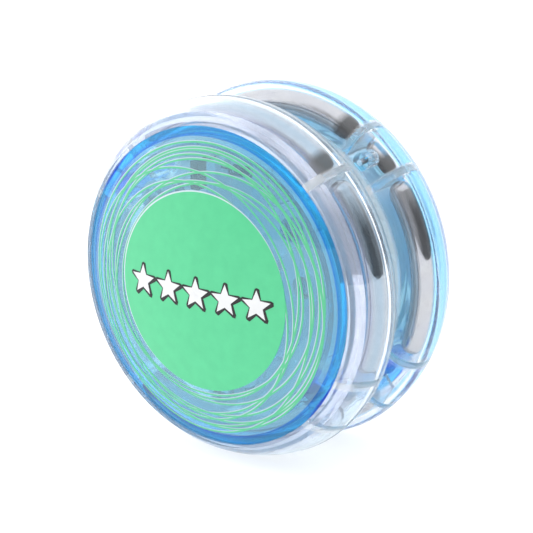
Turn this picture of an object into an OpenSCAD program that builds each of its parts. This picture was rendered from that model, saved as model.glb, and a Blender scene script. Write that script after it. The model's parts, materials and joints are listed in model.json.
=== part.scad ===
// Automatic-return yo-yo with clear rim shells, steel rim rods and domed snap-in lenses.
// It spins about Y. The clutch half faces -Y, +Z is up, and the origin is on the axle
// in the middle of the string gap. Each half is drawn lying down, with its own z
// measured outward from the middle of the gap, and is then turned into place.

/* [Shells] */
// Outer radius of each half
shell_r = 28.5; // [28.2:0.1:28.8]
// Height of the outer lip above the middle of the gap
lip_z = 12.9; // [12.8:0.1:13.2]
// Radius of the rounded outer side of the rim
side_r = 11; // [10.8:0.1:11.2]
// Radius of the rounded edge beside the string gap
shoulder_r = 3.5; // [3.3:0.1:3.6]
// Thickness of the rim wall and of the gap face
wall = 1.3; // [1.1:0.1:1.4]
// Half of the string gap at the hub
gap_half = 2.15; // [2.1:0.05:2.3]
// How much the gap face leans back from hub to rim
gap_flare = 0.55; // [0.4:0.05:0.6]
// Thickness of the radial ribs in the rim
rib_t = 1.2; // [0.8:0.1:1.4]

/* [Lenses] */
// Radius of the lens edge
lens_r = 25; // [24.8:0.05:25]
// Height of the top of the dome above the middle of the gap
dome_z = 17.45; // [17.4:0.05:17.6]
// Radius of the sphere that the dome is part of
dome_r = 67.5; // [66:0.5:69]
// Thickness of the dome
lens_t = 1.6; // [1.2:0.1:1.8]
// Radius of the printed label
label_r = 15.7; // [14:0.1:16]
// Number of stars in the row on the label
star_count = 5; // [3:2:5]
// Outer radius of each star
star_r = 2.5; // [1.5:0.1:2.6]

/* [Rim weights] */
// Radius of the round steel rods in the rim
rod_r = 1.9; // [1.5:0.05:1.9]
// Radius of the short steel slugs in the back rim
slug_r = 1.5; // [1.2:0.05:1.5]

/* [Axle and spool] */
// Radius of the axle bolt
axle_r = 2; // [1.9:0.05:2]
// Width across the flats of the bolt head and nut
hex_af = 7; // [6.8:0.1:7]
// Radius of the bottom of the string groove
groove_r = 4.2; // [4:0.1:4.5]
// Radius of the clutch drum on the spool
drum_r = 6; // [5.8:0.1:6]

/* [Clutch] */
// Thickness of the clutch arms
arm_t = 3.8; // [3.4:0.1:3.8]
// Width of the curved band of each arm
arm_w = 3; // [2.6:0.1:3.2]
// Radius of the steel weight balls
ball_r = 1.8; // [1.5:0.05:1.8]
// Number of turns in the clutch spring
spring_turns = 9; // [6:1:11]

/* [Hidden] */
$fn = 96;
// Small extra depth that carries a cut through a surface
cut = 0.5;

// Rim section
side_z = 5.5;
side_c = shell_r - side_r;
shoulder_c = shell_r - shoulder_r;
shoulder_z = gap_half + gap_flare + shoulder_r;
floor_z = gap_half + 0.15 + wall;
ring_in = 22.3;
ring_out = 23.1;
pocket_r = lens_r + 0.1;
ledge_z = 9.95;

// Angles of the ribs and of the snap windows, seen from outside the front half
front_ribs = [47, 227];
front_window_ribs = [-46.5, -25.5, 133.5, 154.5];
front_windows = [-36, 144];
back_ribs = [40, 58, 220, 238];
back_window_ribs = [-47, -27, 133, 153];
back_windows = [-37, 143];
window_in = 20;
window_out = 24.3;
window_half_angle = 8;
tab_in = 21;
tab_out = 23.6;
tab_half_angle = 6;
skirt_r = ring_in - 0.15;
skirt_t = 0.8;
skirt_z = 4.2;
skirt_gap_half_angle = 13;
tab_z = 3;

// Rods and slugs, each given by the ribs that it lies between
rod_c = 25.2;
rod_z = 6.6;
slug_c = 24.6;
slug_z = 8.2;
front_rod_bays = [[-25.5, 47], [47, 133.5], [154.5, 227], [227, 313.5]];
back_rod_bays = [[-27, 40], [58, 133], [153, 220], [238, 313]];
slug_bays = [[40, 58], [220, 238]];
post_c = 24.2;
post_r = 1.4;
post_top = 6.5;

// Axle stack, as heights above the middle of the gap
hub_hole_r = 6.7;
hex_r = hex_af / sqrt(3);
head_z = 8.8;
head_t = 2.8;
bolt_end = -9.2;
thread_pitch = 0.7;
thread_turns = 6;
bushing_r = 3;
bushing_top = 7.45;
bushing_bottom = -3;
shim_t = 0.5;
shim_r = 3.6;
back_seat_z = 3.55;
nut_z = 5.6;
nut_t = 3.2;

// Clutch
arm_z = 3.9;
arm_in = 10.6;
pivot_x = 4;
pivot_y = -13.5;
pin_r = 1;
lug_r = 2.4;
ball_c = 13;
ball_angle = 5;
horn_x = 3.6;
horn_w = 1.6;
horn_top = 17.8;
stop_x = 6.7;
stop_w = 1.4;
stop_y = 13;
stop_l = 4.4;
stop_top = 8;
carrier_z = 8.6;
carrier_t = 1.4;
screw_c = 17.2;
screw_angles = [40, 140, 270];
screw_r = 0.9;
spring_y = 16.7;
spring_z = arm_z + arm_t / 2;
spring_half = 2.3;
spring_r = 0.75;
wire_r = 0.13;

clear_plastic = [0.88, 0.92, 0.97, 0.35];
blue_plastic = [0.35, 0.66, 0.92, 0.6];
label_green = [0.42, 0.92, 0.68];
chrome = [0.8, 0.8, 0.82];
steel = [0.66, 0.67, 0.69];

// Turns a half so that its z points to -Y
module to_front() {
    rotate([90, 0, 0])
        children();
}

// Turns a half so that its z points to +Y, with the same angles seen from the front
module to_back() {
    mirror([0, 1, 0])
        rotate([90, 0, 0])
            children();
}

// Part of a ring between two radii, two heights and two angles
module ring_sector(r_in, r_out, z_low, z_high, from, to) {
    rotate([0, 0, from])
        rotate_extrude(angle = to - from)
            translate([r_in, z_low])
                square([r_out - r_in, z_high - z_low]);
}

// Section of a half filled solid
module outer_section() {
    intersection() {
        translate([side_c, side_z])
            circle(side_r);
        translate([0, shoulder_z])
            square([shell_r + 1, lip_z - shoulder_z]);
    }
    intersection() {
        translate([shoulder_c, shoulder_z])
            circle(shoulder_r);
        translate([shoulder_c - 1, 0])
            square([shell_r, shoulder_z + 0.01]);
    }
    polygon([[0, gap_half], [shoulder_c, gap_half + gap_flare],
        [shoulder_c, shoulder_z + 0.01], [0, shoulder_z + 0.01]]);
}

// Section of the hollow rim, a wall's thickness inside the outer section
module chamber_section() {
    intersection() {
        union() {
            intersection() {
                translate([side_c, side_z])
                    circle(side_r - wall);
                translate([0, shoulder_z])
                    square([shell_r, ledge_z - shoulder_z]);
            }
            translate([shoulder_c, shoulder_z])
                circle(shoulder_r - wall);
            translate([ring_out, shoulder_z - shoulder_r + wall])
                square([shoulder_c - ring_out, shoulder_r]);
        }
        translate([ring_out, 0])
            square([shell_r, ledge_z]);
    }
}

// One radial rib, as the plate that is left standing in the rim
module rib_plate(angle, r_in) {
    rotate([0, 0, angle])
        translate([r_in, -rib_t / 2, 0])
            cube([shell_r - r_in, rib_t, ledge_z]);
}

// One half's shell before its hub is added
module shell_body(ribs, window_ribs, windows) {
    difference() {
        rotate_extrude()
            outer_section();
        difference() {
            rotate_extrude()
                chamber_section();
            for (a = concat(ribs, window_ribs))
                rib_plate(a, ring_out - 1);
        }
        difference() {
            translate([0, 0, floor_z])
                cylinder(r = ring_in, h = ledge_z);
            for (a = window_ribs)
                intersection() {
                    rib_plate(a, window_in);
                    cylinder(r = ring_out, h = ledge_z);
                }
        }
        translate([0, 0, ledge_z])
            cylinder(r = pocket_r, h = lip_z);
        for (a = windows) {
            ring_sector(window_in, window_out, 0, floor_z + cut, a - window_half_angle,
                a + window_half_angle);
            ring_sector(ring_in - 0.1, ring_out + 0.1, floor_z, ledge_z + cut,
                a - window_half_angle, a + window_half_angle);
        }
    }
}

// Places a child at each carrier screw
module at_screws() {
    for (a = screw_angles)
        rotate([0, 0, a])
            translate([screw_c, 0, 0])
                children();
}

module front_shell() {
    color(clear_plastic)
        to_front()
            difference() {
                union() {
                    shell_body(front_ribs, front_window_ribs, front_windows);
                    at_screws()
                        translate([0, 0, floor_z - cut])
                            cylinder(r = 2.4, h = carrier_z - floor_z + cut);
                    for (side = [-1, 1])
                        translate([side * pivot_x, pivot_y, floor_z - cut])
                            cylinder(r = lug_r, h = arm_z - 0.1 - floor_z + cut);
                    translate([stop_x, stop_y, floor_z - cut])
                        cube([stop_w, stop_l, stop_top - floor_z + cut]);
                    translate([-stop_x - stop_w + 0.4, stop_y + 0.7, floor_z - cut])
                        cube([stop_w - 0.8, stop_l - 1.4, stop_top - 1 - floor_z + cut]);
                }
                cylinder(r = hub_hole_r, h = ledge_z);
                at_screws()
                    translate([0, 0, floor_z + 1])
                        cylinder(r = screw_r, h = ledge_z);
                for (side = [-1, 1])
                    translate([side * pivot_x, pivot_y, floor_z - 0.65])
                        cylinder(r = pin_r, h = ledge_z);
            }
}

module back_shell() {
    color(clear_plastic)
        to_back()
            difference() {
                union() {
                    shell_body(back_ribs, back_window_ribs, back_windows);
                    translate([0, 0, floor_z - cut])
                        cylinder(r = 7.4, h = nut_z + nut_t + 0.2 - floor_z + cut);
                    for (bay = slug_bays)
                        rotate([0, 0, (bay[0] + bay[1]) / 2 + 1.5])
                            translate([post_c, 0, floor_z - cut])
                                cylinder(r = post_r, h = post_top - floor_z + cut);
                }
                cylinder(r = hub_hole_r, h = back_seat_z);
                cylinder(r = axle_r + 0.15, h = ledge_z);
                translate([0, 0, nut_z])
                    cylinder(r = hex_r + 0.05, h = nut_t + 1, $fn = 6);
                for (bay = slug_bays)
                    rotate([0, 0, (bay[0] + bay[1]) / 2 + 1.5])
                        translate([post_c, 0, floor_z])
                            cylinder(r = 0.5, h = post_top);
            }
}

// A rod bent along the rim between two ribs, with ball ends a hair thinner than the rod
module rim_rod(bay, radius, centre_r, centre_z) {
    end_angle = asin((rib_t / 2 + radius + 0.15) / centre_r);
    rotate([0, 0, bay[0] + end_angle])
        rotate_extrude(angle = bay[1] - bay[0] - 2 * end_angle)
            translate([centre_r, centre_z])
                circle(radius);
    for (a = [bay[0] + end_angle, bay[1] - end_angle])
        rotate([0, 0, a])
            translate([centre_r, 0, centre_z])
                rotate([90, 0, 0])
                    sphere(radius - 0.03);
}

module front_rim_rod(index) {
    color(chrome)
        to_front()
            rim_rod(front_rod_bays[index], rod_r, rod_c, rod_z);
}

module back_rim_rod(index) {
    color(chrome)
        to_back()
            rim_rod(back_rod_bays[index], rod_r, rod_c, rod_z);
}

module back_rim_slug(index) {
    color(chrome)
        to_back()
            rim_rod(slug_bays[index], slug_r, slug_c, slug_z);
}

module clutch_carrier() {
    color(clear_plastic)
        to_front()
            difference() {
                union() {
                    translate([0, 0, carrier_z])
                        linear_extrude(carrier_t)
                            carrier_outline();
                    translate([0, 0, bushing_top + 0.05 + shim_t])
                        cylinder(r = 4.5, h = 1);
                    translate([0, 0, carrier_z])
                        cylinder(r = 6, h = head_z + head_t - 0.3 - carrier_z);
                }
                cylinder(r = axle_r, h = ledge_z);
                translate([0, 0, head_z])
                    cylinder(r = hex_r + 0.05, h = head_t + 1, $fn = 6);
                at_screws()
                    cylinder(r = screw_r + 0.2, h = lip_z);
                for (side = [-1, 1])
                    translate([side * pivot_x, pivot_y, 0])
                        cylinder(r = pin_r, h = lip_z);
            }
}

// Plan of the carrier: a hub, three spokes and a foot over the two pivot pins
module carrier_outline() {
    circle(8);
    for (a = screw_angles)
        rotate(a) {
            translate([0, -2.2])
                square([screw_c, 4.4]);
            translate([screw_c, 0])
                circle(2.9);
        }
    translate([-pivot_x, pivot_y - lug_r])
        square([2 * pivot_x, 2 * lug_r]);
    for (side = [-1, 1])
        translate([side * pivot_x, pivot_y])
            circle(lug_r);
}

module carrier_screws() {
    color(steel)
        to_front()
            at_screws()
                difference() {
                    union() {
                        translate([0, 0, floor_z + 1.4])
                            cylinder(r = screw_r, h = carrier_z + carrier_t - floor_z - 1.3);
                        translate([0, 0, carrier_z + carrier_t])
                            cylinder(r = 1.8, h = 1.1);
                    }
                    for (turn = [0, 90])
                        rotate([0, 0, turn])
                            translate([-1.2, -0.2, carrier_z + carrier_t + 0.5])
                                cube([2.4, 0.4, 1]);
                }
}

// Bolt with rolled thread rings over its last turns
module axle_bolt() {
    thread_top = bolt_end + thread_turns * thread_pitch;
    color(steel)
        to_front() {
            translate([0, 0, head_z])
                cylinder(r = hex_r, h = head_t, $fn = 6);
            translate([0, 0, thread_top])
                cylinder(r = axle_r, h = head_z - thread_top + 0.1);
            rotate_extrude()
                polygon(concat([[0, thread_top + 0.1], [0, bolt_end]],
                    [for (i = [0 : thread_turns - 1])
                        for (step = [[0.15, 0], [0, 0.2], [0, 0.5], [0.15, 0.7]])
                            [axle_r - step[0], bolt_end + i * thread_pitch + step[1]]],
                    [[axle_r - 0.15, thread_top + 0.1]]));
        }
}

module axle_nut() {
    color(steel)
        to_back()
            difference() {
                translate([0, 0, nut_z])
                    cylinder(r = hex_r, h = nut_t, $fn = 6);
                cylinder(r = axle_r + 0.04, h = lip_z);
            }
}

module clutch_pivot_pin(side) {
    color(steel)
        to_front()
            translate([side * pivot_x, pivot_y, floor_z - 0.65])
                cylinder(r = pin_r, h = carrier_z + carrier_t - floor_z + 0.65);
}

module front_shim() {
    color(steel)
        to_front()
            translate([0, 0, bushing_top + 0.05])
                difference() {
                    cylinder(r = shim_r, h = shim_t);
                    translate([0, 0, -1])
                        cylinder(r = axle_r + 0.1, h = 3);
                }
}

module back_shim() {
    color(steel)
        to_back()
            translate([0, 0, back_seat_z - shim_t])
                difference() {
                    cylinder(r = shim_r, h = shim_t);
                    translate([0, 0, -1])
                        cylinder(r = axle_r + 0.1, h = 3);
                }
}

// Rubber sleeve that the left arm opens against
module arm_stop_bumper() {
    color([0.12, 0.12, 0.14])
        to_front()
            difference() {
                translate([-stop_x - stop_w, stop_y, floor_z])
                    cube([stop_w, stop_l, stop_top - floor_z]);
                translate([-stop_x - stop_w + 0.4, stop_y + 0.7, 0])
                    cube([stop_w - 0.8, stop_l - 1.4, stop_top - 1]);
            }
}

// Middle line of the spring: a leg, a coil that swells from the leg, and a leg
function coil_radius(t) = spring_r * min(1, t * spring_turns, (1 - t) * spring_turns);
function coil_point(t) = [spring_half * (2 * t - 1),
    spring_y + coil_radius(t) * sin(360 * spring_turns * t),
    spring_z + coil_radius(t) * cos(360 * spring_turns * t)];
function spring_path() = concat(
    [[-horn_x - horn_w - 0.4, spring_y, spring_z], [-horn_x, spring_y, spring_z]],
    [for (i = [0 : 12 * spring_turns]) coil_point(i / (12 * spring_turns))],
    [[horn_x, spring_y, spring_z], [horn_x + horn_w + 0.4, spring_y, spring_z]]);

// Ring of wire points round one point of a path, square to the path there
function unit(v) = v / norm(v);
function wire_ring(path, i, sides) =
    let (ahead = unit(path[min(i + 1, len(path) - 1)] - path[max(i - 1, 0)]))
    let (across = unit(cross(ahead, abs(ahead[0]) > 0.9 ? [0, 1, 0] : [1, 0, 0])))
    let (up = cross(across, ahead))
    [for (k = [0 : sides - 1])
        path[i] + wire_r * (cos(360 * k / sides) * across + sin(360 * k / sides) * up)];

module clutch_spring() {
    sides = 6;
    path = spring_path();
    last = len(path) - 1;
    color(steel)
        to_front()
            polyhedron(
                points = [for (i = [0 : last]) each wire_ring(path, i, sides)],
                faces = concat(
                    [[for (k = [sides - 1 : -1 : 0]) k]],
                    [for (i = [0 : last - 1], k = [0 : sides - 1])
                        [i * sides + k, i * sides + (k + 1) % sides,
                            (i + 1) * sides + (k + 1) % sides, (i + 1) * sides + k]],
                    [[for (k = [0 : sides - 1]) last * sides + k]]));
}

// Flanged spool: string groove in the middle, clutch drum at the front
module string_spool() {
    color([0.93, 0.95, 0.97])
        to_front()
            rotate_extrude()
                polygon([[bushing_r, -2.9], [6, -2.9], [6.4, -2.5], [6.4, -2.3],
                    [6.2, -2.1], [groove_r + 0.4, -2.05], [groove_r, -1.65],
                    [groove_r, 1.65], [groove_r + 0.4, 2.05], [6.2, 2.1], [6.4, 2.3],
                    [6.4, 3.1], [drum_r, 3.2], [drum_r, 7.1], [drum_r - 0.2, 7.3],
                    [bushing_r, 7.3]]);
}

module spool_bushing() {
    color([0.8, 0.66, 0.36])
        to_front()
            translate([0, 0, bushing_bottom])
                difference() {
                    cylinder(r = bushing_r, h = bushing_top - bushing_bottom);
                    translate([0, 0, -1])
                        cylinder(r = axle_r + 0.05, h = bushing_top - bushing_bottom + 2);
                }
}

// Pie slice that keeps part of a ring, for angles less than a half turn apart
module slice(r, from, to) {
    polygon([[0, 0], r * [cos(from), sin(from)],
        r * 1.5 * [cos((2 * from + to) / 3), sin((2 * from + to) / 3)],
        r * 1.5 * [cos((from + 2 * to) / 3), sin((from + 2 * to) / 3)],
        r * [cos(to), sin(to)]]);
}

// Plan of the right arm, with its pad against the drum and its horn at the top
module arm_outline() {
    difference() {
        union() {
            intersection() {
                difference() {
                    circle(arm_in + arm_w);
                    circle(arm_in);
                }
                slice(20, -70, 74);
            }
            intersection() {
                difference() {
                    circle(arm_in + 0.5);
                    circle(drum_r + 0.05);
                }
                slice(16, -18, 18);
            }
            translate([pivot_x, pivot_y])
                circle(lug_r);
            rotate(ball_angle)
                translate([ball_c, 0])
                    circle(ball_r + 1.1);
            translate([horn_x, arm_in + 1])
                square([horn_w, horn_top - arm_in - 1]);
        }
        translate([pivot_x, pivot_y])
            circle(pin_r + 0.05);
        rotate(ball_angle)
            translate([ball_c, 0])
                circle(ball_r - 0.02);
    }
}

module clutch_arm(side) {
    color(clear_plastic)
        to_front()
            difference() {
                mirror([side < 0 ? 1 : 0, 0, 0])
                    translate([0, 0, arm_z])
                        linear_extrude(arm_t)
                            arm_outline();
                translate([side * (horn_x - 1), spring_y, spring_z])
                    rotate([0, side * 90, 0])
                        cylinder(r = 0.35, h = horn_w + 2);
            }
}

module weight_ball(side) {
    color(chrome)
        to_front()
            mirror([side < 0 ? 1 : 0, 0, 0])
                rotate([0, 0, ball_angle])
                    translate([ball_c, 0, spring_z])
                        sphere(ball_r);
}

// Solid under a sphere whose top is at the given height
module under_dome(height) {
    translate([0, 0, dome_z - dome_r])
        sphere(dome_r + height, $fn = 200);
}

// Thin wall that reaches from the dome down into the shell's ring, open at the ring's windows
module lens_skirt(windows) {
    difference() {
        translate([0, 0, skirt_z])
            cylinder(r = skirt_r, h = dome_z);
        cylinder(r = skirt_r - skirt_t, h = 2 * dome_z);
        for (a = windows)
            ring_sector(skirt_r - skirt_t - cut, skirt_r + cut, 0, ledge_z + 0.05,
                a - skirt_gap_half_angle, a + skirt_gap_half_angle);
    }
}

// Domed lens with its edge, its skirt and two snap tabs
module lens(windows) {
    difference() {
        intersection() {
            union() {
                translate([0, 0, ledge_z + 0.05])
                    cylinder(r = lens_r, h = dome_z);
                lens_skirt(windows);
                for (a = windows)
                    ring_sector(tab_in, tab_out, tab_z, lip_z, a - tab_half_angle,
                        a + tab_half_angle);
            }
            under_dome(0);
        }
        difference() {
            intersection() {
                cylinder(r = lens_r - lens_t, h = dome_z);
                under_dome(-lens_t);
            }
            lens_skirt(windows);
            for (a = windows)
                ring_sector(tab_in, tab_out, 0, dome_z, a - tab_half_angle,
                    a + tab_half_angle);
        }
    }
}

module label() {
    intersection() {
        difference() {
            under_dome(0.1);
            under_dome(0);
        }
        cylinder(r = label_r, h = dome_z + 1);
    }
}

// Row of five-pointed stars that stand a hair above the label
module label_stars() {
    intersection() {
        difference() {
            under_dome(0.16);
            under_dome(0.1);
        }
        for (i = [0 : star_count - 1])
            translate([(i - (star_count - 1) / 2) * 2.2 * star_r, 0, dome_z - 3])
                linear_extrude(4)
                    polygon([for (k = [0 : 9])
                        (k % 2 == 0 ? star_r : 0.45 * star_r)
                            * [cos(90 + 36 * k), sin(90 + 36 * k)]]);
    }
}

module front_lens() {
    color(blue_plastic)
        to_front()
            lens(front_windows);
}

module back_lens() {
    color(blue_plastic)
        to_back()
            lens(back_windows);
}

module front_label() {
    color(label_green)
        to_front()
            label();
}

module back_label() {
    color(label_green)
        to_back()
            label();
}

module front_label_stars() {
    color("white")
        to_front()
            label_stars();
}

module back_label_stars() {
    color("white")
        to_back()
            label_stars();
}

front_shell();
front_rim_rod(0);  // front_rim_rod_1
front_rim_rod(1);  // front_rim_rod_2
front_rim_rod(2);  // front_rim_rod_3
front_rim_rod(3);  // front_rim_rod_4
clutch_carrier();
carrier_screws();
axle_bolt();
clutch_pivot_pin(-1);  // clutch_pivot_pin_left
clutch_pivot_pin(1);  // clutch_pivot_pin_right
front_shim();
arm_stop_bumper();
clutch_spring();
string_spool();
spool_bushing();
clutch_arm(-1);  // clutch_arm_left
clutch_arm(1);  // clutch_arm_right
weight_ball(-1);  // weight_ball_left
weight_ball(1);  // weight_ball_right
front_lens();
front_label();
front_label_stars();
back_lens();
back_label();
back_label_stars();
back_shim();
back_shell();
back_rim_rod(0);  // back_rim_rod_1
back_rim_rod(1);  // back_rim_rod_2
back_rim_rod(2);  // back_rim_rod_3
back_rim_rod(3);  // back_rim_rod_4
back_rim_slug(0);  // back_rim_slug_1
back_rim_slug(1);  // back_rim_slug_2
axle_nut();
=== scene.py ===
import json
import math

import bpy
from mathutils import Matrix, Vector


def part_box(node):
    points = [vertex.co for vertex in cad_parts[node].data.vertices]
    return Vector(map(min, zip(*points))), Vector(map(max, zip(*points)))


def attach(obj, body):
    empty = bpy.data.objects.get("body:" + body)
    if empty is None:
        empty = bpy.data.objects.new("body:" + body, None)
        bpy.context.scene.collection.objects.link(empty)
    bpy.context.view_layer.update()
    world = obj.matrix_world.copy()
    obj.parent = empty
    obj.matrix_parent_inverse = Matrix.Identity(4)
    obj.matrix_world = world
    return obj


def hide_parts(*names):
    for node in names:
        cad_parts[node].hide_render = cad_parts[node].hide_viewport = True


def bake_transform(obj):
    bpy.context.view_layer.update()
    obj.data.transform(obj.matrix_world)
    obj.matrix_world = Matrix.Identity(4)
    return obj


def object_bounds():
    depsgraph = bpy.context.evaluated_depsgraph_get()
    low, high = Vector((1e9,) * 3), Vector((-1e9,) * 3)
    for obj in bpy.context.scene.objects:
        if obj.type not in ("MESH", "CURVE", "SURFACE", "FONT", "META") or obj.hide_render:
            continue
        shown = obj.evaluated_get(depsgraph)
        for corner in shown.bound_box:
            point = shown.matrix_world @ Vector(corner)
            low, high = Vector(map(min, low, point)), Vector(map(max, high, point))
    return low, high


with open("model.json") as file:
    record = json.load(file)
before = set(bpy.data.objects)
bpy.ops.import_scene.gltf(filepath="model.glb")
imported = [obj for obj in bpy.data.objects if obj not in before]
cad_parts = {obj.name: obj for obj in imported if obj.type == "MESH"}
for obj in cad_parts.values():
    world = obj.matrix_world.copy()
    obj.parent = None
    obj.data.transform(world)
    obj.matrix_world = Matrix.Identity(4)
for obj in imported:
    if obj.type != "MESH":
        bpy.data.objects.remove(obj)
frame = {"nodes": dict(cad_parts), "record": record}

MM = 0.001
NODES = frame["nodes"]
CAD_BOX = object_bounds()

# The two halves by the sign of their side along Y.
HALVES = {-1: "front", 1: "back"}

# The camera stands where the clutch half faces it, a little above the axle.
VIEW_AZIMUTH = math.radians(37.7)
VIEW_ELEVATION = math.radians(17.14)
VIEW_DISTANCE = 0.4657
VIEW_SHIFT = (0.0004, 0.0011)
FOCAL_MM = 201.8
SENSOR_MM = 36
VIEW_CLIP = (0.01, 20)

# Dome, label, spring and floor, measured from the frame. The dome is a sphere about the axle.
LENS_LOW, LENS_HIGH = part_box("front_lens")
LENS_R = LENS_HIGH.x
DOME_TOP = -LENS_LOW.y
DOME_SPHERE = 67.5 * MM
LABEL_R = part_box("front_label")[1].x
SPRING_LOW, SPRING_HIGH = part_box("clutch_spring")
FLOOR_Z = CAD_BOX[0].z

# Distance over which one look turns into the next at a sharp border.
CRISP = 0.1 * MM

# The plates in the rims: their angles round the axle in degrees, half their thickness, and how
# far out they start.
FRONT_RIBS = (47, 227, -46.5, -25.5, 133.5, 154.5)
BACK_RIBS = (40, 58, 220, 238, -47, -27, 133, 153)
RIB_HALF = 0.65 * MM
RIB_START = 22.0 * MM
RIB_CLEARNESS = 0.85

# The shell's lip stands round the lens: beyond LIP_R, and from LIP_FROM along the axle.
LIP_R = 24.9 * MM
LIP_FROM = 9.5 * MM
LIP_FADE = 1.0 * MM
LIP_CLEARNESS = 0.85

# Band of the shell's wall painted with the lens's colour, a painted refraction of the lens seen
# through the wall, and how softly it ends.
GLOW_FROM = 6.4 * MM
GLOW_TO = 8.9 * MM
GLOW_FADE = 0.8 * MM

# The wall beside the string is frosted inside the ring that holds the lens.
WALL_R = 23.2 * MM
WALL_FADE = 0.8 * MM
WALL_TO = 3.7 * MM
WALL_CLEARNESS = 0.15

# How much rougher the frosted plates and wall are than the clear shell.
FROST_ROUGHNESS = 0.25

# The lens's edge is darkest where it starts. Its skirt and snap tabs reach below SKIRT_TO along
# the axle; the tabs stand beyond TAB_R, and beyond TAB_CHORD towards each tab's angle.
EDGE_R = LENS_R - 1.5 * MM
EDGE_FADE = 0.6 * MM
SKIRT_TO = 9.8 * MM
TAB_R = 22.3 * MM
TAB_ANGLES = (-36, 144)
TAB_CHORD = 24.6 * MM

# Painted dark reflection at the rod ends by the plates, painted black into the steel: how far
# past a plate's middle it is fully black, and where it ends.
TIP_FULL = 3.2 * MM
TIP_END = 4.6 * MM
FRONT_TIPS = (47, 227)
BACK_TIPS = (40, 58, 220, 238)

# The label's green ink lies a little off the white under it, which shows as a thin line that
# is widest at the upper left of the front label.
INK_SLIP = (0.12 * MM, 0, -0.12 * MM)
INK_R = LABEL_R - 0.09 * MM
INK_FADE = 0.04 * MM

# Clear plastics: how far light bends in them, the tint that depth gives, the tint of lamp
# light behind them, and the haze on their surface.
PLASTIC_IOR = 1.5
CLEAR_DEPTH = (0.6, 0.75, 0.9)
CLEAR_LAMP = (0.97, 0.98, 1.0)
CLEAR_HAZE = (0.95, 0.97, 1.0)
LIP_HAZE = (0.78, 0.83, 0.96)
WALL_HAZE = (0.92, 0.98, 1.0)
RIB_HAZE = (1.0, 1.0, 1.0)
# Colours painted into each shell's band: a painted refraction of the lens's blue, deep in the
# back half.
FRONT_PAINTED_LENS_BLUE = (0.80, 0.92, 1.0)
BACK_PAINTED_LENS_BLUE = (0.10, 0.53, 0.90)
LENS_DEPTH = (0.07, 0.76, 0.98)
LENS_LAMP = (0.80, 0.94, 1.0)
LENS_HAZE = (0.60, 0.91, 1.0)
EDGE_TINT = (0.06, 0.63, 1.0)
EDGE_DARK = (0.027, 0.2835, 1.0)
SKIRT_TINT = (0.92, 0.98, 1.0)
TAB_TINT = (0.0, 0.12, 0.8)
INNER_COLOUR = (0.86, 0.93, 0.98)
INNER_LAMP = (0.95, 0.98, 1.0)

# Metals.
STEEL = (0.56, 0.55, 0.565)
# Painted dark reflection: black painted into the steel at the rod ends by the plates.
TIP_PAINTED_REFLECTION = (0.01, 0.01, 0.012)
FASTENER_STEEL = (0.58, 0.59, 0.62)
SPRING_STEEL = (0.14, 0.14, 0.16)
BRASS = (0.75, 0.56, 0.25)

# Prints and plain plastics.
LABEL_GREEN = (0.086, 0.64, 0.295)
LABEL_WHITE = (0.70, 0.80, 0.86)
LABEL_LAMP = (0.85, 0.94, 0.9)
SWIRL_GREEN = (0.126, 0.64, 0.33)
SWIRL_WHITE = (0.62, 0.74, 0.86)
STAR_WHITE = (0.92, 0.93, 0.94)
STAR_BLACK = (0.012, 0.012, 0.014)
SPOOL_PALE = (0.8, 0.84, 0.88)
RUBBER_BLACK = (0.02, 0.02, 0.025)


# ------------------------------------------------------------- shader nodes

def material(name):
    """A new material with its node tree, Principled shader and output."""
    mat = bpy.data.materials.new(name)
    mat.use_nodes = True
    tree = mat.node_tree
    shader = next(n for n in tree.nodes if n.type == "BSDF_PRINCIPLED")
    output = next(n for n in tree.nodes if n.type == "OUTPUT_MATERIAL")
    return mat, tree, shader, output


def feed(tree, value, socket):
    """Links a socket to another one, or sets it to a plain value."""
    if isinstance(value, bpy.types.NodeSocket):
        tree.links.new(value, socket)
    else:
        socket.default_value = value


def calc(tree, operation, *values):
    """The result of a Math node; each value is a number or a socket."""
    node = tree.nodes.new("ShaderNodeMath")
    node.operation = operation
    for value, socket in zip(values, node.inputs):
        feed(tree, value, socket)
    return node.outputs["Value"]


def vector_calc(tree, operation, *values, result="Value"):
    """The result of a Vector Math node; each value is a triple or a socket."""
    node = tree.nodes.new("ShaderNodeVectorMath")
    node.operation = operation
    for value, socket in zip(values, node.inputs):
        feed(tree, value, socket)
    return node.outputs[result]


def times(tree, a, b):
    """The product of two sockets."""
    return calc(tree, "MULTIPLY", a, b)


def add_up(tree, *sockets):
    """The sum of one or more sockets."""
    total = sockets[0]
    for socket in sockets[1:]:
        total = calc(tree, "ADD", total, socket)
    return total


def part(tree, vector, axis):
    """One component of a vector: X, Y or Z."""
    node = tree.nodes.new("ShaderNodeSeparateXYZ")
    tree.links.new(vector, node.inputs["Vector"])
    return node.outputs[axis]


def place(tree, stretch=(1, 1, 1)):
    """Object coordinates in metres, multiplied by stretch."""
    coords = tree.nodes.new("ShaderNodeTexCoord")
    mapping = tree.nodes.new("ShaderNodeMapping")
    mapping.inputs["Scale"].default_value = stretch
    tree.links.new(coords.outputs["Object"], mapping.inputs["Vector"])
    return mapping.outputs["Vector"]


def noise(tree, per_metre, detail=3.0, stretch=(1, 1, 1)):
    """Noise whose features come per_metre to the metre, as a 0 to 1 socket."""
    texture = tree.nodes.new("ShaderNodeTexNoise")
    texture.inputs["Scale"].default_value = per_metre
    texture.inputs["Detail"].default_value = detail
    tree.links.new(place(tree, stretch), texture.inputs["Vector"])
    return texture.outputs["Fac"]


def remap(tree, socket, low, high, from_low=0.3, from_high=0.7):
    """Carries from_low..from_high, at first noise's usual range, over to low..high."""
    node = tree.nodes.new("ShaderNodeMapRange")
    node.inputs["From Min"].default_value = from_low
    node.inputs["From Max"].default_value = from_high
    node.inputs["To Min"].default_value = low
    node.inputs["To Max"].default_value = high
    tree.links.new(socket, node.inputs["Value"])
    return node.outputs["Result"]


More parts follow.
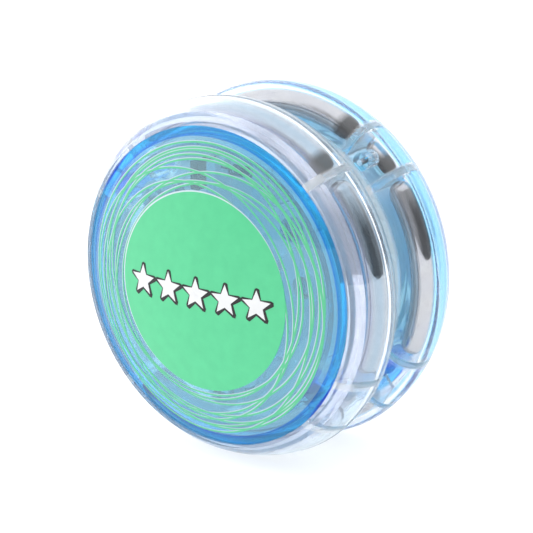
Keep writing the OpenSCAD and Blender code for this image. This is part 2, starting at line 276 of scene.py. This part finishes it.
def between(tree, mask, at_0, at_1):
    """at_0 where mask is 0, at_1 where it is 1."""
    return remap(tree, mask, at_0, at_1, 0.0, 1.0)


def rising(tree, socket, start, fade=CRISP):
    """0 up to start, then rising to 1 over fade."""
    return remap(tree, socket, 0.0, 1.0, start, start + fade)


def falling(tree, socket, start, fade=CRISP):
    """1 up to start, then falling to 0 over fade."""
    return remap(tree, socket, 1.0, 0.0, start, start + fade)


def shade(colour, factor, lift=0.0):
    """A paler or darker version of a colour."""
    return tuple(min(1.0, c * factor + lift) for c in colour)


def mix_colour(tree, factor, a, b):
    """Colour a at factor 0 and b at factor 1; each is a tuple or a socket."""
    node = tree.nodes.new("ShaderNodeMix")
    node.data_type = "RGBA"
    tree.links.new(factor, node.inputs["Factor"])
    for name, value in (("A", a), ("B", b)):
        socket = next(s for s in node.inputs if s.name == name and s.type == "RGBA")
        feed(tree, (*value, 1) if isinstance(value, tuple) else value, socket)
    return next(s for s in node.outputs if s.type == "RGBA")


def mottled(tree, cloud, a, b):
    """Colour a where the noise is low and b where it is high."""
    return mix_colour(tree, remap(tree, cloud, 0.0, 1.0), a, b)


def bump(tree, shader, socket, depth, strength):
    """Raises the surface by up to depth, in metres, where socket is high."""
    node = tree.nodes.new("ShaderNodeBump")
    node.inputs["Strength"].default_value = strength
    node.inputs["Distance"].default_value = depth
    tree.links.new(socket, node.inputs["Height"])
    tree.links.new(node.outputs["Normal"], shader.inputs["Normal"])


# ---------------------------------------------------- places on the yo-yo

def outward(angle):
    """Direction away from the axle at an angle round it, in degrees."""
    return (math.cos(math.radians(angle)), 0, math.sin(math.radians(angle)))


def onward(angle):
    """Direction round the axle at an angle, in degrees."""
    return (-math.sin(math.radians(angle)), 0, math.cos(math.radians(angle)))


def reach_along(tree, way):
    """How far a point lies from the middle in the direction way, in metres."""
    return vector_calc(tree, "DOT_PRODUCT", place(tree), way)


def depth_along_axle(tree):
    """Distance from the middle plane along the axle, either way, in metres."""
    return calc(tree, "ABSOLUTE", reach_along(tree, (0, 1, 0)))


def axle_distance(tree, shift=(0, 0, 0)):
    """Distance from the axle, in metres, after moving the axle by shift."""
    moved = vector_calc(tree, "SUBTRACT", place(tree), shift, result="Vector")
    flat = vector_calc(tree, "MULTIPLY", moved, (1, 0, 1), result="Vector")
    return vector_calc(tree, "LENGTH", flat)


def faces_inward(tree):
    """1 where the surface looks towards the middle of the yo-yo, else 0."""
    geometry = tree.nodes.new("ShaderNodeNewGeometry")
    both = times(tree, part(tree, geometry.outputs["Normal"], "Y"), part(tree, place(tree), "Y"))
    return calc(tree, "LESS_THAN", both, 0.0)


def on_ribs(tree, angles):
    """1 on the rim plates that stand at these angles round the axle, else 0."""
    plates = []
    for angle in angles:
        across = calc(tree, "ABSOLUTE", reach_along(tree, onward(angle)))
        out = reach_along(tree, outward(angle))
        plates.append(times(tree, falling(tree, across, RIB_HALF), rising(tree, out, RIB_START)))
    return add_up(tree, *plates)


# ---------------------------------------------------------------- materials

def let_lamps_through(tree, shader, output, tint):
    """Clear plastic passes lamp light straight on, tinted."""
    path = tree.nodes.new("ShaderNodeLightPath")
    clear = tree.nodes.new("ShaderNodeBsdfTransparent")
    clear.inputs["Color"].default_value = (*tint, 1)
    mixer = tree.nodes.new("ShaderNodeMixShader")
    tree.links.new(path.outputs["Is Shadow Ray"], mixer.inputs["Fac"])
    tree.links.new(shader.outputs["BSDF"], mixer.inputs[1])
    tree.links.new(clear.outputs["BSDF"], mixer.inputs[2])
    tree.links.new(mixer.outputs["Shader"], output.inputs["Surface"])


def hazy_surface(tree, haze, roughness):
    """Colour and roughness of a polished surface with a slight cloud in it."""
    cloud = noise(tree, per_metre=220)
    colour = mottled(tree, cloud, haze, shade(haze, 1.04))
    return colour, remap(tree, cloud, roughness, roughness + 0.03)


def see_through(tree, shader, output, colour, rough, clearness, density, passed, lamp_tint):
    """Wires up a clear plastic that takes on colour with depth.

    clearness is how much light goes through and not back as haze, as a number or a socket. A
    metre of the plastic takes density times one minus passed out of the light."""
    shader.inputs["IOR"].default_value = PLASTIC_IOR
    feed(tree, clearness, shader.inputs["Transmission Weight"])
    tree.links.new(colour, shader.inputs["Base Color"])
    tree.links.new(rough, shader.inputs["Roughness"])
    bump(tree, shader, noise(tree, per_metre=90, detail=2.0), depth=0.02 * MM, strength=0.25)
    absorb = tree.nodes.new("ShaderNodeVolumeAbsorption")
    absorb.inputs["Color"].default_value = (*passed, 1)
    absorb.inputs["Density"].default_value = density
    tree.links.new(absorb.outputs["Volume"], output.inputs["Volume"])
    let_lamps_through(tree, shader, output, lamp_tint)


def clear_shell(name, ribs, painted_lens_tint, clearness=0.97):
    """A half's clear shell: frosted plates and string wall, hazy lip, and a band painted with the
    lens's colour, a painted refraction of the lens seen through the wall. ribs lists the plates'
    angles and the third argument is the band's painted colour."""
    mat, tree, shader, output = material(name)
    colour, rough = hazy_surface(tree, CLEAR_HAZE, roughness=0.0)
    out, depth = axle_distance(tree), depth_along_axle(tree)
    frost = on_ribs(tree, ribs)
    beyond = rising(tree, out, LIP_R)
    lip = times(tree, beyond, rising(tree, depth, LIP_FROM, LIP_FADE))
    wall = times(tree, falling(tree, out, WALL_R, WALL_FADE), falling(tree, depth, WALL_TO))
    # The band where the lens's blue is painted into the wall, a painted refraction.
    glow = times(tree, beyond, times(tree, rising(tree, depth, GLOW_FROM, GLOW_FADE),
                                     falling(tree, depth, GLOW_TO, GLOW_FADE)))
    for zone, tint in ((lip, LIP_HAZE), (wall, WALL_HAZE), (glow, painted_lens_tint), (frost, RIB_HAZE)):
        colour = mix_colour(tree, zone, colour, tint)
    clear = add_up(tree, between(tree, frost, clearness, RIB_CLEARNESS),
                   between(tree, lip, 0.0, LIP_CLEARNESS - clearness),
                   between(tree, wall, 0.0, WALL_CLEARNESS - clearness))
    frosted = between(tree, add_up(tree, frost, wall), 0.0, FROST_ROUGHNESS)
    see_through(tree, shader, output, colour, add_up(tree, rough, frosted), clear,
                density=20, passed=CLEAR_DEPTH, lamp_tint=CLEAR_LAMP)
    return mat


def blue_lens(name):
    """The lens: light blue, with a deep blue edge, a nearly clear skirt and dark snap tabs."""
    mat, tree, shader, output = material(name)
    colour, rough = hazy_surface(tree, LENS_HAZE, roughness=0.01)
    out = axle_distance(tree)
    edge = rising(tree, out, EDGE_R)
    paler = rising(tree, out, EDGE_R + CRISP, EDGE_FADE)
    skirt = falling(tree, depth_along_axle(tree), SKIRT_TO)
    chords = [rising(tree, reach_along(tree, outward(angle)), TAB_CHORD) for angle in TAB_ANGLES]
    tabs = add_up(tree, times(tree, skirt, rising(tree, out, TAB_R)),
                  times(tree, edge, add_up(tree, *chords)))
    colour = mix_colour(tree, edge, colour, mix_colour(tree, paler, EDGE_DARK, EDGE_TINT))
    colour = mix_colour(tree, skirt, colour, SKIRT_TINT)
    colour = mix_colour(tree, tabs, colour, TAB_TINT)
    see_through(tree, shader, output, colour, rough, clearness=0.83,
                density=120, passed=LENS_DEPTH, lamp_tint=LENS_LAMP)
    return mat


def milky_plastic(name, colour, clearness, lamp_tint):
    """Translucent plastic: part of the light goes through, the rest comes back as colour."""
    mat, tree, shader, output = material(name)
    cloud = noise(tree, per_metre=250)
    tree.links.new(mottled(tree, cloud, shade(colour, 0.92), colour), shader.inputs["Base Color"])
    tree.links.new(remap(tree, cloud, 0.12, 0.22), shader.inputs["Roughness"])
    shader.inputs["Transmission Weight"].default_value = clearness
    shader.inputs["IOR"].default_value = PLASTIC_IOR
    bump(tree, shader, noise(tree, per_metre=1500, detail=2.0), depth=0.01 * MM, strength=0.15)
    let_lamps_through(tree, shader, output, lamp_tint)
    return mat


def polished_metal(name, colour, smoothest, roughest, stretch=(1, 1, 1), painted_dark_ends=()):
    """Polished metal with faint marks, whose roughness goes from smoothest to roughest.

    stretch multiplies the coordinates of the marks. The angles given last are those of the plates
    whose upper side a rod's end meets; there the steel is painted black, a painted dark
    reflection."""
    mat, tree, shader, _ = material(name)
    shader.inputs["Metallic"].default_value = 1.0
    marks = noise(tree, per_metre=900, detail=4.0, stretch=stretch)
    tint = mottled(tree, marks, shade(colour, 0.9), colour)
    # Each rod's end by a plate is painted black, a painted dark reflection.
    for angle in painted_dark_ends:
        past = reach_along(tree, onward(angle))
        tip = times(tree, rising(tree, past, 0.0),
                    falling(tree, past, TIP_FULL, TIP_END - TIP_FULL))
        out = rising(tree, reach_along(tree, outward(angle)), RIB_START - CRISP)
        tint = mix_colour(tree, times(tree, tip, out), tint, TIP_PAINTED_REFLECTION)
    tree.links.new(tint, shader.inputs["Base Color"])
    tree.links.new(remap(tree, marks, smoothest, roughest), shader.inputs["Roughness"])
    bump(tree, shader, marks, depth=0.003 * MM, strength=0.15)
    return mat


def moulded(name, colour, roughness, specks=0.06):
    """Plain moulded plastic, rubber or ink; specks is how much darker its mottling gets."""
    mat, tree, shader, _ = material(name)
    cloud = noise(tree, per_metre=350, detail=4.0)
    tree.links.new(mottled(tree, cloud, shade(colour, 1 - specks), colour),
                   shader.inputs["Base Color"])
    tree.links.new(remap(tree, cloud, roughness, roughness + 0.12), shader.inputs["Roughness"])
    bump(tree, shader, noise(tree, per_metre=4000, detail=2.0), depth=0.01 * MM, strength=0.2)
    return mat


def printed_label(name, green, white):
    """Printed film: green ink with slight mottling, white beside it and white behind."""
    mat, tree, shader, output = material(name)
    cloud = noise(tree, per_metre=500, detail=5.0)
    ink = mottled(tree, cloud, green, shade(green, 1.06, lift=0.01))
    beside = rising(tree, axle_distance(tree, INK_SLIP), INK_R, INK_FADE)
    front = mix_colour(tree, beside, ink, white)
    tree.links.new(mix_colour(tree, faces_inward(tree), front, white),
                   shader.inputs["Base Color"])
    tree.links.new(remap(tree, cloud, 0.42, 0.5), shader.inputs["Roughness"])
    shader.inputs["Coat Weight"].default_value = 0.25
    shader.inputs["Coat Roughness"].default_value = 0.2
    bump(tree, shader, noise(tree, per_metre=6000, detail=2.0), depth=0.004 * MM, strength=0.15)
    let_lamps_through(tree, shader, output, LABEL_LAMP)
    return mat


def lit_paper(name, colour, roughness, glow):
    """White paper on a light table: it glows evenly."""
    mat, _, shader, _ = material(name)
    shader.inputs["Base Color"].default_value = (*colour, 1)
    shader.inputs["Roughness"].default_value = roughness
    shader.inputs["Emission Color"].default_value = (1, 1, 1, 1)
    shader.inputs["Emission Strength"].default_value = glow
    return mat


# Marks four times shorter along the axle than round it, as turning leaves them.
ROUND_AXLE = (1, 4, 1)

# The material of each slot in the record, with the back half's own where it differs.
SLOT_MATERIALS = {
    "clear_plastic": clear_shell("clear_plastic_front", FRONT_RIBS, FRONT_PAINTED_LENS_BLUE),
    "inner_plastic": milky_plastic("inner_plastic", INNER_COLOUR, 0.3, INNER_LAMP),
    "blue_lens": blue_lens("blue_lens"),
    "label_print": printed_label("label_print", LABEL_GREEN, LABEL_WHITE),
    "star_print": moulded("star_white", STAR_WHITE, 0.35),
    "rim_steel": polished_metal("rim_steel_front", STEEL, 0.04, 0.1, painted_dark_ends=FRONT_TIPS),
    "fastener_steel": polished_metal("fastener_steel", FASTENER_STEEL, 0.18, 0.32, ROUND_AXLE),
    "spring_steel": polished_metal("spring_steel", SPRING_STEEL, 0.15, 0.3),
    "spool_plastic": moulded("spool_plastic", SPOOL_PALE, 0.3),
    "bushing_brass": polished_metal("bushing_brass", BRASS, 0.15, 0.3, ROUND_AXLE),
    "bumper_rubber": moulded("bumper_rubber", RUBBER_BLACK, 0.6, specks=0.3),
}
BACK_MATERIALS = {
    "clear_plastic": clear_shell("clear_plastic_back", BACK_RIBS, BACK_PAINTED_LENS_BLUE),
    "rim_steel": polished_metal("rim_steel_back", STEEL, 0.04, 0.1, painted_dark_ends=BACK_TIPS),
}
GREEN_INK = moulded("swirl_green", SWIRL_GREEN, 0.4)
WHITE_INK = moulded("swirl_white", SWIRL_WHITE, 0.4)
BLACK_INK = moulded("star_black", STAR_BLACK, 0.35, specks=0.3)


def dress_cad_nodes():
    """Gives every CAD node the material of its slot in the record."""
    for row in frame["record"]["subparts"]:
        node = NODES[row["node"]]
        node.data.materials.clear()
        slot = row["material_slot"]
        own = BACK_MATERIALS if row["node"].startswith("back_") else {}
        node.data.materials.append(own.get(slot, SLOT_MATERIALS[slot]))


# ------------------------------------------------------------------- pieces

def mesh_piece(name, points, faces, mat, body=None, smooth=True):
    """A mesh that rides on a body, if one is named."""
    mesh = bpy.data.meshes.new(name)
    mesh.from_pydata([tuple(p) for p in points], [], faces)
    mesh.update()
    for face in mesh.polygons:
        face.use_smooth = smooth
    mesh.materials.append(mat)
    piece = bpy.data.objects.new(name, mesh)
    bpy.context.scene.collection.objects.link(piece)
    if body:
        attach(piece, body)
    return piece


def on_dome(x, up, lift, side):
    """A point lift above the dome at x and up. side is -1 on the front half, 1 on the back."""
    sphere = DOME_SPHERE + lift
    out = DOME_TOP - DOME_SPHERE + math.sqrt(sphere * sphere - x * x - up * up)
    return Vector((x, side * out, up))


def band_on_dome(name, corners, flipped, mat, side):
    """A closed band on a half's dome. corners holds four (x, up, lift) for each cut across it."""
    points = [on_dome(*corner, side) for corner in corners]
    faces = []
    for a in range(0, len(points), 4):
        b = (a + 4) % len(points)
        for k in range(4):
            face = (a + k, a + (k + 1) % 4, b + (k + 1) % 4, b + k)
            faces.append(face[::-1] if flipped else face)
    mesh_piece(name, points, faces, mat, body=f"{HALVES[side]}_cap", smooth=False)


# Each scribbled ring: how far it reaches up, down, left and right of the axle in mm,
# then how much it bulges in mm and towards which angle.
SWIRLS = (
    (22.8, 22.1, 22.6, 21.6, 0.2, 30), (21.8, 19.8, 20.3, 21.1, 0.3, 120),
    (21.4, 23.1, 21.3, 19.8, 0.3, 60), (20.5, 21.1, 19.2, 21.3, 0.5, 150),
    (18.7, 22.2, 17.7, 21.6, 0.4, 45), (18.2, 19.8, 22.4, 17.2, 0.4, 120),
    (17.3, 18.0, 15.9, 19.8, 0.4, 30), (16.6, 21.1, 20.3, 16.0, 0.2, 135),
    (20.4, 16.8, 19.2, 18.2, 0.5, 100), (17.3, 16.7, 17.7, 18.2, 0.3, 20),
)
SWIRL_POINTS = 160
SWIRL_WIDTH = 0.26 * MM

# The white print's slip from the green in mm, and how high the prints lie on the dome. Each
# ring lies a little above the one before, by PRINT_RISE from the first to the last.
WHITE_SLIP = (-0.12, 0.1)
PRINT_LOW = 0.01 * MM
WHITE_TOP = 0.02 * MM
GREEN_TOP = 0.04 * MM
PRINT_RISE = 0.012 * MM


def swirl_line(ring, slip):
    """Closed line of one scribbled ring, as (x, up) points."""
    top, bottom, left, right, bulge, lean = ring
    line = []
    for i in range(SWIRL_POINTS):
        turn = 2 * math.pi * i / SWIRL_POINTS
        swell = 1 + bulge * math.cos(2 * (turn - math.radians(lean))) / top
        x = (right - left) / 2 + (right + left) / 2 * math.cos(turn) * swell
        up = (top - bottom) / 2 + (top + bottom) / 2 * math.sin(turn) * swell
        line.append(Vector(((x + slip[0]) * MM, (up + slip[1]) * MM)))
    return line


def ribbon(name, line, high, mat, side):
    """A thin print on the dome along a closed line of (x, up) points."""
    corners = []
    for i, point in enumerate(line):
        along = (line[(i + 1) % len(line)] - line[i - 1]).normalized()
        across = Vector((-along.y, along.x)) * SWIRL_WIDTH / 2
        for edge, lift in ((point - across, PRINT_LOW), (point - across, high),
                           (point + across, high), (point + across, PRINT_LOW)):
            corners.append((edge.x, edge.y, lift))
    band_on_dome(name, corners, side > 0, mat, side)


def add_swirls(side):
    """The scribbled rings round the label, green over a white print that shows beside it."""
    for i, ring in enumerate(SWIRLS):
        rise = PRINT_RISE * i / len(SWIRLS)
        ribbon(f"{HALVES[side]}_swirl_white_{i + 1}", swirl_line(ring, WHITE_SLIP),
               WHITE_TOP + rise, WHITE_INK, side)
        ribbon(f"{HALVES[side]}_swirl_green_{i + 1}", swirl_line(ring, (0, 0)),
               GREEN_TOP + rise, GREEN_INK, side)


# The row of stars in mm: count, points of each, tip and waist radii, and spacing. The waist
# keeps a five-pointed star's edges in line. Then the black edge: its width, how much more its
# shadow adds and which way that falls, the steps that round a tip, and its two heights.
STARS = 5
STAR_POINTS = 5
STAR_R = 2.5
STAR_WAIST = 0.382 * STAR_R
STAR_SPACING = 5.5
OUTLINE = 0.34
SHADOW = 0.3
SHADOW_WAY = Vector((0.7, -0.7))
TIP_STEPS = 5
OUTLINE_LOW = 0.105
OUTLINE_HIGH = 0.14


def star_corners(middle):
    """A star's tips and waists in turn, as points in mm."""
    corners = []
    for k in range(2 * STAR_POINTS):
        reach = STAR_R if k % 2 == 0 else STAR_WAIST
        turn = math.radians(90 + 180 / STAR_POINTS * k)
        corners.append(Vector((middle + reach * math.cos(turn), reach * math.sin(turn))))
    return corners


def star_outline(name, middle, side):
    """The black edge round one star, wider at the lower right where its shadow falls."""
    star = star_corners(middle)
    ring = []
    for k, here in enumerate(star):
        before, after = star[k - 1], star[(k + 1) % len(star)]
        come, go = (here - before).normalized(), (after - here).normalized()
        way_in, way_out = Vector((come.y, -come.x)), Vector((go.y, -go.x))
        turns = [step / (TIP_STEPS - 1) for step in range(TIP_STEPS)] if k % 2 == 0 else [0.5]
        for turn in turns:
            way = way_in.lerp(way_out, turn).normalized()
            shade = SHADOW * max(0.0, way.dot(SHADOW_WAY))
            ring.append((here, here + way * (OUTLINE + shade)))
    corners = []
    for inner, outer in ring:
        for spot, lift in ((inner, OUTLINE_LOW), (inner, OUTLINE_HIGH),
                           (outer, OUTLINE_HIGH), (outer, OUTLINE_LOW)):
            corners.append((spot.x * MM, spot.y * MM, lift * MM))
    band_on_dome(name, corners, side < 0, BLACK_INK, side)


def add_star_outlines(side):
    """A black edge round each star of a half."""
    for i in range(STARS):
        middle = (i - (STARS - 1) / 2) * STAR_SPACING
        star_outline(f"{HALVES[side]}_star_edge_{i + 1}", middle, side)


def tube(name, path, radius, sides, mat):
    """A closed round wire along a path of points."""
    points, faces = [], []
    last = len(path) - 1
    side_way = Vector((0, 0, 1))
    for i, point in enumerate(path):
        ahead = (path[min(i + 1, last)] - path[max(i - 1, 0)]).normalized()
        side_way = (side_way - ahead * side_way.dot(ahead)).normalized()
        other = ahead.cross(side_way)
        for k in range(sides):
            turn = 2 * math.pi * k / sides
            points.append(point + radius * (math.cos(turn) * side_way + math.sin(turn) * other))
    for i in range(last):
        for k in range(sides):
            a, b = i * sides + k, i * sides + (k + 1) % sides
            faces.append((a, b, b + sides, a + sides))
    faces.append(tuple(range(sides))[::-1])
    faces.append(tuple(last * sides + k for k in range(sides)))
    return mesh_piece(name, points, faces, mat)


# The clutch spring: radii of its wire and coil, and the length and turns of half a coil. Its
# leg ends HOOK_BACK short of the CAD spring's box, then bends into a hook with a straight tail.
WIRE_R = 0.14 * MM
WIRE_SIDES = 12
COIL_R = 0.75 * MM
COIL_HALF = 2.3 * MM
COIL_TURNS = 4.5
TURN_STEPS = 24
HOOK_BACK = 0.3 * MM
HOOK_R = 0.35 * MM
HOOK_STEPS = 6
HOOK_TAIL = 0.6 * MM


def half_spring(sign, middle):
    """Points of half a coil from the middle out, then its leg and hook, towards sign along X."""
    path = []
    steps = int(COIL_TURNS * TURN_STEPS)
    for i in range(steps + 1):
        t = i / steps
        swell = COIL_R * min(1.0, (1 - t) * COIL_TURNS)
        turn = 2 * math.pi * COIL_TURNS * t * sign
        path.append((COIL_HALF * t, swell * math.cos(turn), swell * math.sin(turn)))
    hook_x = SPRING_HIGH.x - middle.x - HOOK_BACK
    for i in range(HOOK_STEPS + 1):
        bend = math.radians(90 * i / HOOK_STEPS)
        path.append((hook_x + HOOK_R * math.sin(bend), 0, HOOK_R * (1 - math.cos(bend))))
    path.append((path[-1][0], 0, path[-1][2] + HOOK_TAIL))
    return [middle + Vector((sign * x, y, z)) for x, y, z in path]


def add_spring():
    """The clutch spring, in two halves that replace the CAD spring."""
    middle = (SPRING_LOW + SPRING_HIGH) / 2
    for sign, side in ((-1, "left"), (1, "right")):
        piece = tube(f"clutch_spring_{side}", half_spring(sign, middle), WIRE_R, WIRE_SIDES,
                     SLOT_MATERIALS["spring_steel"])
        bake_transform(piece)
        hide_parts("clutch_spring")


# -------------------------------------------------------------------- stage

FLOOR_REACH = 4.0
FLOOR_COLOUR = (0.55, 0.55, 0.555)
FLOOR_ROUGHNESS = 0.9
FLOOR_GLOW = 0.5

# The studio's light: its colour, its strength at the horizon and overhead, and the height,
# as the sine of the angle up, where it reaches the second.
SKY = (0.98, 0.985, 1.0)
SKY_LOW, SKY_HIGH = 1.05, 1.0
SKY_TURN = 0.9

# Two darker sides: the direction of each, the cosines of the angle from it at which the dimming
# begins and is full, and the share of light left there. DARK_TOP holds the heights between
# which the dimming fades out upward.
DARK_SIDES = (((0.64, -0.77, 0), 0.2, 0.45, 0.3), ((0.98, 0.2, 0), 0.45, 0.75, 0.14))
DARK_TOP = (0.42, 0.8)


def add_floor():
    """A wide sheet of paper under the yo-yo."""
    mesh = bpy.data.meshes.new("floor")
    corners = ((-1, -1), (1, -1), (1, 1), (-1, 1))
    mesh.from_pydata([(x * FLOOR_REACH, y * FLOOR_REACH, FLOOR_Z) for x, y in corners],
                     [], [(0, 1, 2, 3)])
    mesh.materials.append(lit_paper("floor_paper", FLOOR_COLOUR, FLOOR_ROUGHNESS, FLOOR_GLOW))
    floor = bpy.data.objects.new("floor", mesh)
    bpy.context.scene.collection.objects.link(floor)


def light_left(tree, direction, height, way, begins, ends, left):
    """The share of the studio's light that is left by one of its darker sides."""
    toward = vector_calc(tree, "DOT_PRODUCT", direction, way)
    beside = remap(tree, toward, 1.0, 0.0, begins, ends)
    above = remap(tree, height, 0.0, 1.0, *DARK_TOP)
    return between(tree, calc(tree, "MAXIMUM", beside, above), left, 1.0)


def add_studio():
    """A light tent, pale all round but darker at two sides, with the floor in it."""
    world = bpy.data.worlds.new("studio")
    bpy.context.scene.world = world
    world.use_nodes = True
    tree = world.node_tree
    background = next(n for n in tree.nodes if n.type == "BACKGROUND")
    background.inputs["Color"].default_value = (*SKY, 1)
    direction = tree.nodes.new("ShaderNodeTexCoord").outputs["Generated"]
    height = part(tree, direction, "Z")
    strength = remap(tree, height, SKY_LOW, SKY_HIGH, 0.0, SKY_TURN)
    for side in DARK_SIDES:
        strength = times(tree, strength, light_left(tree, direction, height, *side))
    tree.links.new(strength, background.inputs["Strength"])
    add_floor()


def add_camera():
    """The photograph's view of the yo-yo."""
    data = bpy.data.cameras.new("camera")
    data.lens = FOCAL_MM
    data.sensor_width = SENSOR_MM
    data.shift_x, data.shift_y = VIEW_SHIFT
    data.clip_start, data.clip_end = VIEW_CLIP
    camera = bpy.data.objects.new("camera", data)
    bpy.context.scene.collection.objects.link(camera)
    back = Vector((math.sin(VIEW_AZIMUTH) * math.cos(VIEW_ELEVATION),
                   -math.cos(VIEW_AZIMUTH) * math.cos(VIEW_ELEVATION),
                   math.sin(VIEW_ELEVATION)))
    camera.location = back * VIEW_DISTANCE
    camera.rotation_mode = "QUATERNION"
    camera.rotation_quaternion = (-back).to_track_quat("-Z", "Y")
    bpy.context.scene.camera = camera


# Light crosses both halves' walls and lenses, so it may pass many surfaces.
CLEAR_BOUNCES = 32
GLOSSY_BOUNCES = 8
EXPOSURE = 0.5


def set_light_paths():
    """Enough bounces for light to cross both halves, and a plain colour transform."""
    scene = bpy.context.scene
    scene.cycles.max_bounces = CLEAR_BOUNCES
    scene.cycles.transmission_bounces = CLEAR_BOUNCES
    scene.cycles.transparent_max_bounces = CLEAR_BOUNCES
    scene.cycles.glossy_bounces = GLOSSY_BOUNCES
    scene.cycles.use_denoising = True
    scene.view_settings.view_transform = "Standard"
    scene.view_settings.exposure = EXPOSURE


add_camera()
dress_cad_nodes()
for side in HALVES:
    add_swirls(side)
    add_star_outlines(side)
add_spring()
add_studio()
set_light_paths()
